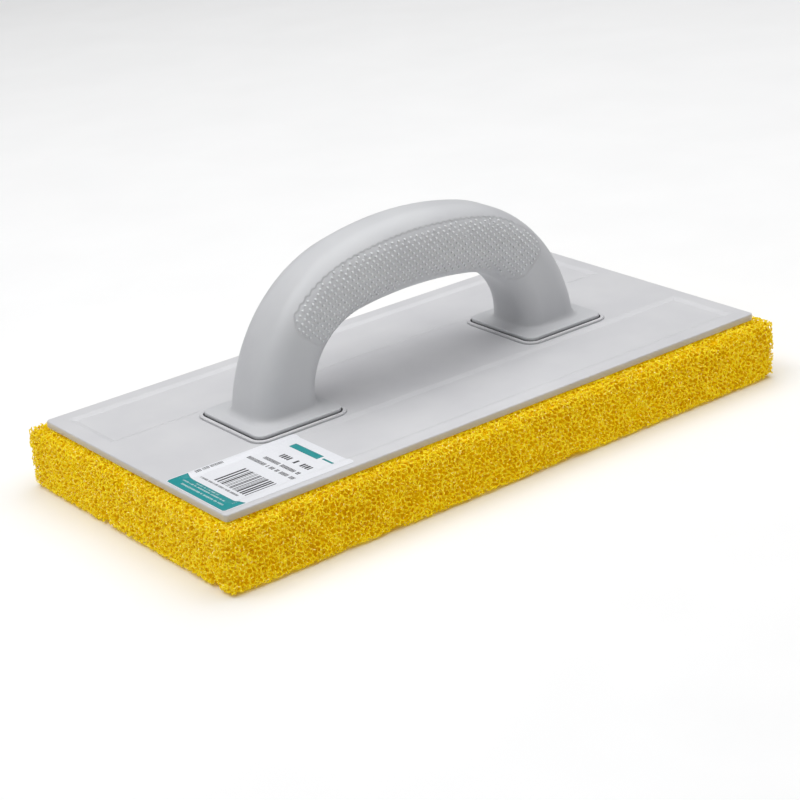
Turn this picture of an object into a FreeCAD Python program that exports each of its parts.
"""Sponge-faced hand float: a moulded plate with an arched handle, bonded to a foam pad.

Millimetres. +Z is up and the float rests on its foam pad. The origin is the middle of the pad's
underside, X runs along the float and Y across it. Each sub-part is a body of the document, and
every size in it is bound to the sheet of driving dimensions.
"""
import FreeCAD, Part
import math
import os

import Sketcher

# Driving dimensions. Every other size in the model follows from these.
SIZES = {
    # base plate
    "plate_length": 270.0,
    "plate_width": 130.0,
    "plate_thickness": 2.8,
    "plate_corner_radius": 1.6,
    "plate_edge_round": 0.6,
    # two long panels sunk into the plate, one each side of a central spine
    "spine_width": 48.0,
    "rim_width": 6.5,
    "panel_depth": 0.7,
    "panel_slope": 2.7,
    # square raised beads that locate the handle's feet
    "foot_spacing": 138.0,
    "bead_frame": 45.2,
    "bead_width": 1.6,
    "bead_rise": 1.0,
    "bead_corner_radius": 6.0,
    "bead_round": 0.4,
    # handle
    "foot_clearance": 0.5,
    "foot_thickness": 2.3,
    "foot_edge_round": 0.5,
    "leg_depth": 30.4,
    "leg_width": 28.4,
    "leg_corner_radius": 8.5,
    "leg_inset": 1.1,
    "leg_least_ledge": 1.5,
    "leg_straight": 2.0,
    "leg_root_round": 2.5,
    "waist_angle": 45.0,
    "waist_depth": 26.0,
    "waist_width": 28.0,
    "waist_corner_radius": 9.0,
    "grip_height": 31.0,
    "grip_width": 29.5,
    "grip_corner_radius": 12.5,
    "arch_rise": 51.0,
    "crest_radius": 150.0,
    # countersunk self-tapping screws, two up into each foot
    "screw_diameter": 3.5,
    "screw_length": 16.0,
    "screw_tip_length": 3.0,
    "screw_row_spacing": 14.0,
    "countersink_diameter": 7.2,
    "head_recess": 0.2,
    "plate_hole_clearance": 0.2,
    "bore_clearance": 0.05,
    "bore_spare_depth": 1.5,
    "drive_span": 3.4,
    "drive_slot": 0.8,
    "drive_depth": 1.2,
    # adhesive film and foam pad
    "film_thickness": 0.3,
    "film_inset": 1.5,
    "pad_overhang_ends": 4.5,
    "pad_overhang_sides": 6.0,
    "pad_thickness": 26.0,
    "pad_corner_radius": 3.0,
    "pad_edge_round": 2.5,
    # paper label at the corner nearest -X, -Y
    "label_length": 59.0,
    "label_thickness": 0.12,
    "label_end_margin": 1.2,
    "label_side_margin": 3.0,
    "label_corner_radius": 2.0,
}

# Lengths that several sub-parts share, as expressions on the sheet.
PLATE_BOTTOM = "Sizes.pad_thickness + Sizes.film_thickness"
PLATE_TOP = PLATE_BOTTOM + " + Sizes.plate_thickness"
FOOT_CENTRE = "Sizes.foot_spacing / 2"
FOOT_INSET = "(Sizes.bead_width + Sizes.foot_clearance)"
FOOT_SIZE = "(Sizes.bead_frame - 2 * " + FOOT_INSET + ")"
LEG_CENTRE = "(Sizes.foot_spacing / 2 - Sizes.leg_inset)"
# On a small foot the leg gets narrower, so that a ledge stays all round its root.
LEG_DEPTH = f"min(Sizes.leg_depth; {FOOT_SIZE} - 2 * (Sizes.leg_inset + Sizes.leg_least_ledge))"
ARCH_HEIGHT = "(Sizes.arch_rise - Sizes.leg_straight)"
SHOULDER_RADIUS = (f"((2 * Sizes.crest_radius * {ARCH_HEIGHT} - {ARCH_HEIGHT}^2 - {LEG_CENTRE}^2)"
                   f" / (2 * (Sizes.crest_radius - {LEG_CENTRE})))")
CREST_DROP = f"(Sizes.crest_radius - {PLATE_TOP} - Sizes.arch_rise)"
HEAD_RADIUS = "(Sizes.countersink_diameter / 2 - Sizes.head_recess)"

# The round at a leg's root takes at most this share of the foot that shows beside the leg.
ROOT_ROUND_SHARE = 0.8

doc = FreeCAD.newDocument("HandFloat")
sheet = doc.addObject("Spreadsheet::Sheet", "Sizes")


def fill_sheet():
    """Write the driving dimensions, one named cell to a row."""
    for row, (name, size) in enumerate(SIZES.items(), start=1):
        sheet.set(f"A{row}", name)
        sheet.set(f"B{row}", str(size))
        sheet.setAlias(f"B{row}", name)
    doc.recompute()


def value(expression):
    """The number that an expression on the sheet has now."""
    return float(sheet.evalExpression(str(expression)))


def new_body(label):
    """An empty body whose label names the file that it is written to."""
    body = doc.addObject("PartDesign::Body", "Body_" + label)
    body.Label = label
    body.AllowCompound = True
    return body


def origin_feature(body, role):
    """One of the body's own origin planes or axes."""
    return next(item for item in body.Origin.OriginFeatures if item.Role == role)


def new_sketch(body, name, role, offset=("0", "0", "0")):
    """A sketch on one of the body's origin planes, shifted in the plane's own axes."""
    sketch = body.newObject("Sketcher::SketchObject", name)
    sketch.AttachmentSupport = [(origin_feature(body, role), "")]
    sketch.MapMode = "FlatFace"
    for axis, shift in zip("xyz", offset):
        if shift != "0":
            sketch.setExpression(".AttachmentOffset.Base." + axis, shift)
    return sketch


def bind(sketch, constraint, expression):
    """Add a dimension to a sketch and tie it to an expression on the sheet."""
    index = sketch.addConstraint(constraint)
    sketch.setExpression(f"Constraints[{index}]", str(expression))


def place_point(sketch, edge, end, x, y):
    """Hold one end of an edge at a place measured from the sketch's origin."""
    bind(sketch, Sketcher.Constraint("DistanceX", -1, 1, edge, end, value(x)), x)
    bind(sketch, Sketcher.Constraint("DistanceY", -1, 1, edge, end, value(y)), y)


def polygon(sketch, points):
    """A closed outline of straight edges through points given as expressions."""
    corners = [FreeCAD.Vector(value(x), value(y), 0) for x, y in points]
    edges = []
    for start, finish in zip(corners, corners[1:] + corners[:1]):
        edges.append(sketch.addGeometry(Part.LineSegment(start, finish)))
    for edge, following in zip(edges, edges[1:] + edges[:1]):
        sketch.addConstraint(Sketcher.Constraint("Coincident", edge, 2, following, 1))
    for edge, (x, y) in zip(edges, points):
        place_point(sketch, edge, 1, x, y)


def rectangle(sketch, left, bottom, right, top):
    """A sharp-cornered rectangle between four expressions."""
    polygon(sketch, [(left, bottom), (right, bottom), (right, top), (left, top)])


def rounded_rectangle(sketch, width, height, radius, centre_x="0", centre_y="0"):
    """A rectangle with four equal corner arcs about a centre given as expressions."""
    left = f"{centre_x} - ({width}) / 2"
    right = f"{centre_x} + ({width}) / 2"
    top = f"{centre_y} + ({height}) / 2"
    bottom = f"{centre_y} - ({height}) / 2"
    r = value(radius)
    x_low, x_high = value(left), value(right)
    y_low, y_high = value(bottom), value(top)
    normal = FreeCAD.Vector(0, 0, 1)
    runs = [
        ((x_low + r, y_low), (x_high - r, y_low)),
        ((x_high, y_low + r), (x_high, y_high - r)),
        ((x_high - r, y_high), (x_low + r, y_high)),
        ((x_low, y_high - r), (x_low, y_low + r)),
    ]
    centres = [
        (x_high - r, y_low + r),
        (x_high - r, y_high - r),
        (x_low + r, y_high - r),
        (x_low + r, y_low + r),
    ]
    lines = []
    arcs = []
    for quarter, (run, centre) in enumerate(zip(runs, centres)):
        start, finish = (FreeCAD.Vector(*point, 0) for point in run)
        lines.append(sketch.addGeometry(Part.LineSegment(start, finish)))
        circle = Part.Circle(FreeCAD.Vector(*centre, 0), normal, r)
        first = (quarter - 1) * math.pi / 2
        arc = Part.ArcOfCircle(circle, first, first + math.pi / 2)
        arcs.append(sketch.addGeometry(arc))
    for quarter in range(4):
        line, arc = lines[quarter], arcs[quarter]
        following = lines[(quarter + 1) % 4]
        direction = "Horizontal" if quarter % 2 == 0 else "Vertical"
        sketch.addConstraint(Sketcher.Constraint(direction, line))
        sketch.addConstraint(Sketcher.Constraint("Tangent", line, 2, arc, 1))
        sketch.addConstraint(Sketcher.Constraint("Tangent", arc, 2, following, 1))
        if quarter:
            sketch.addConstraint(Sketcher.Constraint("Equal", arcs[0], arc))
    bind(sketch, Sketcher.Constraint("Radius", arcs[0], r), radius)
    bind(sketch, Sketcher.Constraint("DistanceY", -1, 1, lines[0], 1, y_low), bottom)
    bind(sketch, Sketcher.Constraint("DistanceX", -1, 1, lines[1], 1, x_high), right)
    bind(sketch, Sketcher.Constraint("DistanceY", -1, 1, lines[2], 1, y_high), top)
    bind(sketch, Sketcher.Constraint("DistanceX", -1, 1, lines[3], 1, x_low), left)


def circle(sketch, x, y, diameter):
    """A circle whose centre and size are expressions."""
    centre = FreeCAD.Vector(value(x), value(y), 0)
    radius = value(diameter) / 2
    ring = sketch.addGeometry(Part.Circle(centre, FreeCAD.Vector(0, 0, 1), radius))
    place_point(sketch, ring, 3, x, y)
    bind(sketch, Sketcher.Constraint("Diameter", ring, 2 * radius), diameter)


def pad(body, name, sketch, length):
    """Raise a sketch by a length on the sheet."""
    feature = body.newObject("PartDesign::Pad", name)
    feature.Profile = sketch
    feature.setExpression("Length", length)
    doc.recompute()
    return feature


def edges_where(shape, test):
    """Names of the edges whose every sampled point passes the test."""
    names = []
    for number, edge in enumerate(shape.Edges, start=1):
        points = edge.discretize(5)
        if all(test(point) for point in points):
            names.append(f"Edge{number}")
    return names


def round_edges(body, name, test, radius):
    """Fillet the edges of the body's last feature that pass the test."""
    base = body.Tip
    names = edges_where(base.Shape, test)
    if not names:
        raise RuntimeError(name + " found no edge to round")
    feature = body.newObject("PartDesign::Fillet", name)
    feature.Base = (base, names)
    feature.setExpression("Radius", radius)
    doc.recompute()
    return feature


def at_height(expression):
    """A test for points that lie at one height."""
    height = value(expression)
    return lambda point: abs(point.z - height) < 1e-4


def removed_volume(body, feature, before):
    """Stop if a feature that should cut took nothing away."""
    if not feature.Shape.Volume < before - 1e-6:
        raise RuntimeError(f"{feature.Name} in {body.Label} cut nothing")


def screw_places():
    """Middle of each screw, as expressions in X and Y, for both feet."""
    for side in (-1, 1):
        for row in (-1, 1):
            yield f"{side} * {LEG_CENTRE}", f"{row} * Sizes.screw_row_spacing / 2"


def sink_panel(body, side, lift="0"):
    """Sink one panel between the spine and the rim, with sloping walls and mitred corners."""
    top_end = "(Sizes.plate_length / 2 - Sizes.rim_width)"
    top_outer = "(Sizes.plate_width / 2 - Sizes.rim_width)"
    top_inner = "Sizes.spine_width / 2"
    floor_end = f"({top_end} - Sizes.panel_slope)"
    floor_outer = f"({top_outer} - Sizes.panel_slope)"
    floor_inner = f"({top_inner} + Sizes.panel_slope)"
    top_level = f"{PLATE_TOP} + {lift}"
    word = "Left" if side > 0 else "Right"
    mouth = new_sketch(body, word + "PanelMouth", "XY_Plane", ("0", "0", top_level))
    rectangle(mouth, f"-{top_end}", f"{side} * {top_inner}", top_end, f"{side} * {top_outer}")
    floor = new_sketch(body, word + "PanelFloor", "XY_Plane",
                       ("0", "0", top_level + " - Sizes.panel_depth"))
    rectangle(floor, f"-{floor_end}", f"{side} * {floor_inner}", floor_end, f"{side} * {floor_outer}")
    doc.recompute()
    before = body.Tip.Shape.Volume
    loft = body.newObject("PartDesign::SubtractiveLoft", word + "Panel")
    loft.Profile = mouth
    loft.Sections = [(floor, [""])]
    loft.Ruled = True
    doc.recompute()
    removed_volume(body, loft, before)


def build_base_plate():
    """Moulded plate: rim, spine, two sunk panels, two foot beads and countersunk holes."""
    body = new_body("base_plate")
    outline = new_sketch(body, "PlateOutline", "XY_Plane", ("0", "0", PLATE_BOTTOM))
    rounded_rectangle(outline, "Sizes.plate_length", "Sizes.plate_width",
                      "Sizes.plate_corner_radius")
    pad(body, "Plate", outline, "Sizes.plate_thickness")
    round_edges(body, "PlateEdge", at_height(PLATE_TOP), "Sizes.plate_edge_round")
    for side in (-1, 1):
        sink_panel(body, side)

    beads = new_sketch(body, "BeadOutline", "XY_Plane", ("0", "0", PLATE_TOP))
    inner = "(Sizes.bead_frame - 2 * Sizes.bead_width)"
    inner_radius = "Sizes.bead_corner_radius - Sizes.bead_width"
    for side in (-1, 1):
        centre = f"{side} * {FOOT_CENTRE}"
        rounded_rectangle(beads, "Sizes.bead_frame", "Sizes.bead_frame",
                          "Sizes.bead_corner_radius", centre)
        rounded_rectangle(beads, inner, inner, inner_radius, centre)
    pad(body, "Beads", beads, "Sizes.bead_rise")
    round_edges(body, "BeadRound", at_height(PLATE_TOP + " + Sizes.bead_rise"), "Sizes.bead_round")

    spots = new_sketch(body, "HoleSpots", "XY_Plane", ("0", "0", PLATE_BOTTOM))
    for x, y in screw_places():
        circle(spots, x, y, "Sizes.screw_diameter")
    doc.recompute()
    before = body.Tip.Shape.Volume
    hole = body.newObject("PartDesign::Hole", "ScrewHoles")
    hole.Profile = spots
    hole.Reversed = True
    hole.DepthType = "ThroughAll"
    hole.ThreadType = "None"
    hole.setExpression("Diameter", "Sizes.screw_diameter + 2 * Sizes.plate_hole_clearance")
    hole.HoleCutType = "Countersink"
    hole.HoleCutCustomValues = True
    hole.HoleCutCountersinkAngle = 90.0
    hole.setExpression("HoleCutDiameter", "Sizes.countersink_diameter")
    doc.recompute()
    removed_volume(body, hole, before)
    return body


def arch_spine(body):
    """Middle line of the arch: two straight legs, two shoulder arcs and the crest arc."""
    sketch = new_sketch(body, "ArchLine", "XZ_Plane")
    foot_x = value(LEG_CENTRE)
    foot_z = value(PLATE_TOP)
    leg_top = foot_z + value("Sizes.leg_straight")
    crest_r = value("Sizes.crest_radius")
    crest_drop = value(CREST_DROP)
    shoulder_r = value(SHOULDER_RADIUS)
    turn = math.atan2(leg_top + crest_drop, foot_x - shoulder_r)
    normal = FreeCAD.Vector(0, 0, 1)

    def arc(centre_x, centre_z, radius, start, end):
        centre = FreeCAD.Vector(centre_x, centre_z, 0)
        return sketch.addGeometry(
            Part.ArcOfCircle(Part.Circle(centre, normal, radius), start, end))

    def leg(side):
        foot = FreeCAD.Vector(side * foot_x, foot_z, 0)
        top = FreeCAD.Vector(side * foot_x, leg_top, 0)
        line = sketch.addGeometry(Part.LineSegment(foot, top))
        sketch.addConstraint(Sketcher.Constraint("Vertical", line))
        place_point(sketch, line, 1, f"{side} * {LEG_CENTRE}", PLATE_TOP)
        bind(sketch, Sketcher.Constraint("DistanceY", line, 1, line, 2, leg_top - foot_z),
             "Sizes.leg_straight")
        return line

    right_leg = leg(1)
    right_bend = arc(foot_x - shoulder_r, leg_top, shoulder_r, 0, turn)
    crest = arc(0, -crest_drop, crest_r, turn, math.pi - turn)
    left_bend = arc(shoulder_r - foot_x, leg_top, shoulder_r, math.pi - turn, math.pi)
    left_leg = leg(-1)
    sketch.addConstraint(Sketcher.Constraint("PointOnObject", crest, 3, -2))
    bind(sketch, Sketcher.Constraint("Radius", crest, crest_r), "Sizes.crest_radius")
    bind(sketch, Sketcher.Constraint("DistanceY", crest, 3, -1, 1, crest_drop), CREST_DROP)
    sketch.addConstraint(Sketcher.Constraint("Tangent", right_leg, 2, right_bend, 1))
    sketch.addConstraint(Sketcher.Constraint("Tangent", right_bend, 2, crest, 1))
    sketch.addConstraint(Sketcher.Constraint("Tangent", crest, 2, left_bend, 1))
    sketch.addConstraint(Sketcher.Constraint("Tangent", left_bend, 2, left_leg, 2))
    return sketch


def arch_sections(body):
    """The arch's sections in order: leg, waist on the shoulder, grip at the crest, waist, leg."""
    legs = {}
    waists = {}
    for side, name in ((1, "Right"), (-1, "Left")):
        leg = new_sketch(body, name + "LegSection", "XY_Plane", ("0", "0", PLATE_TOP))
        rounded_rectangle(leg, LEG_DEPTH, "Sizes.leg_width", "Sizes.leg_corner_radius",
                          f"{side} * {LEG_CENTRE}")
        waist_x = (f"{side} * ({LEG_CENTRE}"
                   f" - {SHOULDER_RADIUS} * (1 - cos(Sizes.waist_angle * 1 deg)))")
        waist_z = (f"{PLATE_TOP} + Sizes.leg_straight"
                   f" + {SHOULDER_RADIUS} * sin(Sizes.waist_angle * 1 deg)")
        waist = new_sketch(body, name + "WaistSection", "YZ_Plane", ("0", waist_z, waist_x))
        tilt = f"{side} * (90 deg - Sizes.waist_angle * 1 deg)"
        lean = FreeCAD.Rotation(FreeCAD.Vector(1, 0, 0), side * (90 - value("Sizes.waist_angle")))
        waist.AttachmentOffset = FreeCAD.Placement(waist.AttachmentOffset.Base, lean)
        waist.setExpression(".AttachmentOffset.Rotation.Angle", tilt)
        rounded_rectangle(waist, "Sizes.waist_width", "Sizes.waist_depth",
                          "Sizes.waist_corner_radius")
        legs[side] = leg
        waists[side] = waist
    grip = new_sketch(body, "GripSection", "YZ_Plane", ("0", PLATE_TOP + " + Sizes.arch_rise", "0"))
    rounded_rectangle(grip, "Sizes.grip_width", "Sizes.grip_height", "Sizes.grip_corner_radius")
    return [legs[1], waists[1], grip, waists[-1], legs[-1]]


def build_handle():
    """One-piece arch: two square feet, two legs and a thicker grip, with blind screw bores."""
    body = new_body("handle")
    spine = arch_spine(body)
    sections = arch_sections(body)
    doc.recompute()
    arch = body.newObject("PartDesign::AdditivePipe", "Arch")
    arch.Profile = sections[0]
    arch.Spine = spine
    arch.Transformation = "Multisection"
    arch.Sections = [(section, [""]) for section in sections[1:]]
    doc.recompute()

    feet = new_sketch(body, "FootOutline", "XY_Plane", ("0", "0", PLATE_TOP))
    for side in (-1, 1):
        rounded_rectangle(feet, FOOT_SIZE, FOOT_SIZE, f"Sizes.bead_corner_radius - {FOOT_INSET}",
                          f"{side} * {FOOT_CENTRE}")
    pad(body, "Feet", feet, "Sizes.foot_thickness")

    foot_top = at_height(PLATE_TOP + " + Sizes.foot_thickness")
    leg_middle = value(LEG_CENTRE)
    leg_reach_x = value(f"{LEG_DEPTH} / 2 + Sizes.foot_edge_round")
    leg_reach_y = value("Sizes.leg_width / 2 + Sizes.foot_edge_round")

    def at_leg(point):
        beside = abs(abs(point.x) - leg_middle) < leg_reach_x and abs(point.y) < leg_reach_y
        return foot_top(point) and beside

    round_edges(body, "FootEdge", lambda point: foot_top(point) and not at_leg(point),
                "Sizes.foot_edge_round")
    root_room = f"{FOOT_SIZE} / 2 - {LEG_DEPTH} / 2 - Sizes.leg_inset - Sizes.foot_edge_round"
    round_edges(body, "LegRoot", at_leg,
                f"min(Sizes.leg_root_round; {ROOT_ROUND_SHARE} * ({root_room}))")

    bores = new_sketch(body, "BoreSpots", "XY_Plane", ("0", "0", PLATE_TOP))
    for x, y in screw_places():
        circle(bores, x, y, "Sizes.screw_diameter + 2 * Sizes.bore_clearance")
    doc.recompute()
    before = body.Tip.Shape.Volume
    pocket = body.newObject("PartDesign::Pocket", "ScrewBores")
    pocket.Profile = bores
    pocket.Reversed = True
    pocket.setExpression("Length", "Sizes.screw_length + Sizes.head_recess"
                         " - Sizes.plate_thickness + Sizes.bore_spare_depth")
    doc.recompute()
    removed_volume(body, pocket, before)
    return body


def build_handle_screws():
    """Four countersunk screws, heads flush under the plate, as one group of solids."""
    body = new_body("handle_screws")
    corner = (f"-{LEG_CENTRE}", PLATE_BOTTOM, "Sizes.screw_row_spacing / 2")
    profile = new_sketch(body, "ScrewProfile", "XZ_Plane", corner)
    shank = "Sizes.screw_diameter / 2"
    under_head = f"Sizes.head_recess + {HEAD_RADIUS} - {shank}"
    tip = "Sizes.screw_length + Sizes.head_recess"
    polygon(profile, [
        ("0", "Sizes.head_recess"),
        (HEAD_RADIUS, "Sizes.head_recess"),
        (shank, under_head),
        (shank, tip + " - Sizes.screw_tip_length"),
        ("0", tip),
    ])
    doc.recompute()
    screw = body.newObject("PartDesign::Revolution", "Screw")
    screw.Profile = profile
    screw.ReferenceAxis = (profile, ["V_Axis"])
    screw.Angle = 360.0
    doc.recompute()

    spot = (f"-{LEG_CENTRE}", "-Sizes.screw_row_spacing / 2", PLATE_BOTTOM + " + Sizes.head_recess")
    cross = new_sketch(body, "DriveCross", "XY_Plane", spot)
    long_half = "Sizes.drive_span / 2"
    short_half = "Sizes.drive_slot / 2"
    points = []
    for x_sign, y_sign in ((1, 1), (-1, 1), (-1, -1), (1, -1)):
        arms = [(long_half, short_half), (short_half, short_half), (short_half, long_half)]
        if x_sign * y_sign < 0:
            arms.reverse()
        points += [(f"{x_sign} * {x}", f"{y_sign} * {y}") for x, y in arms]
    polygon(cross, points)
    doc.recompute()
    before = screw.Shape.Volume
    drive = body.newObject("PartDesign::Pocket", "Drive")
    drive.Profile = cross
    drive.Reversed = True
    drive.setExpression("Length", "Sizes.drive_depth")
    doc.recompute()
    removed_volume(body, drive, before)

    group = body.newObject("PartDesign::LinearPattern", "FourScrews")
    group.Originals = [screw, drive]
    group.Direction = (origin_feature(body, "X_Axis"), [""])
    group.setExpression("Length", "2 * " + LEG_CENTRE)
    group.Occurrences = 2
    group.Direction2 = (origin_feature(body, "Y_Axis"), [""])
    group.setExpression("Length2", "Sizes.screw_row_spacing")
    group.Occurrences2 = 2
    body.Tip = group
    doc.recompute()
    return body


def build_adhesive_film():
    """Thin glue film that bonds the plate to the pad."""
    body = new_body("adhesive_film")
    outline = new_sketch(body, "FilmOutline", "XY_Plane", ("0", "0", "Sizes.pad_thickness"))
    rounded_rectangle(outline, "Sizes.plate_length - 2 * Sizes.film_inset",
                      "Sizes.plate_width - 2 * Sizes.film_inset", "Sizes.plate_corner_radius")
    pad(body, "Film", outline, "Sizes.film_thickness")
    return body


def build_foam_pad():
    """Block of open-cell foam, a little larger than the plate all round."""
    body = new_body("foam_pad")
    outline = new_sketch(body, "PadOutline", "XY_Plane")
    rounded_rectangle(outline, "Sizes.plate_length + 2 * Sizes.pad_overhang_ends",
                      "Sizes.plate_width + 2 * Sizes.pad_overhang_sides", "Sizes.pad_corner_radius")
    pad(body, "Block", outline, "Sizes.pad_thickness")
    underside = at_height("0")
    topside = at_height("Sizes.pad_thickness")
    round_edges(body, "PadEdges", lambda point: underside(point) or topside(point),
                "Sizes.pad_edge_round")
    return body


def build_label(base_plate):
    """Paper label that follows the plate down from the spine, over the panel and onto the rim.

    The blank is a block as high as the label's own upper surface. The plate, cut out of it,
    leaves a skin of one paper thickness.
    """
    blank = new_body("label_blank")
    end = "(-Sizes.plate_length / 2 + Sizes.label_end_margin)"
    inner_edge = "(-Sizes.bead_frame / 2 - Sizes.label_thickness)"
    outer_edge = "(-Sizes.plate_width / 2 + Sizes.label_side_margin)"
    outline = new_sketch(blank, "LabelOutline", "XY_Plane",
                         ("0", "0", PLATE_TOP + " - Sizes.panel_depth"))
    rounded_rectangle(outline, "Sizes.label_length", f"{inner_edge} - {outer_edge}",
                      "Sizes.label_corner_radius", f"{end} + Sizes.label_length / 2",
                      f"({inner_edge} + {outer_edge}) / 2")
    pad(blank, "Blank", outline, "Sizes.panel_depth + Sizes.label_thickness")
    sink_panel(blank, -1, "Sizes.label_thickness")
    label = doc.addObject("Part::Cut", "Label")
    label.Label = "label"
    label.Base = blank
    label.Tool = base_plate
    doc.recompute()
    return label


def check_document(pieces):
    """Stop before anything is written if an object failed or a shape isn't sound."""
    doc.recompute()
    for item in doc.Objects:
        if "Invalid" in item.State or "Error" in item.State:
            raise RuntimeError(f"{item.Name} failed: {item.State}")
    for piece in pieces:
        shape = piece.Shape
        if shape.isNull() or not shape.isValid() or not shape.Solids:
            raise RuntimeError(piece.Label + " has no valid solid")


def main():
    """Build every sub-part and write each to its own file."""
    fill_sheet()
    base_plate = build_base_plate()
    pieces = [
        base_plate,
        build_handle(),
        build_handle_screws(),
        build_adhesive_film(),
        build_foam_pad(),
        build_label(base_plate),
    ]
    check_document(pieces)
    os.makedirs("parts", exist_ok=True)
    for piece in pieces:
        piece.Shape.exportStep(f"parts/{piece.Label}.step")
        print(f"{piece.Label}: {len(piece.Shape.Solids)} solid(s), {piece.Shape.Volume:.0f} mm3")


main()
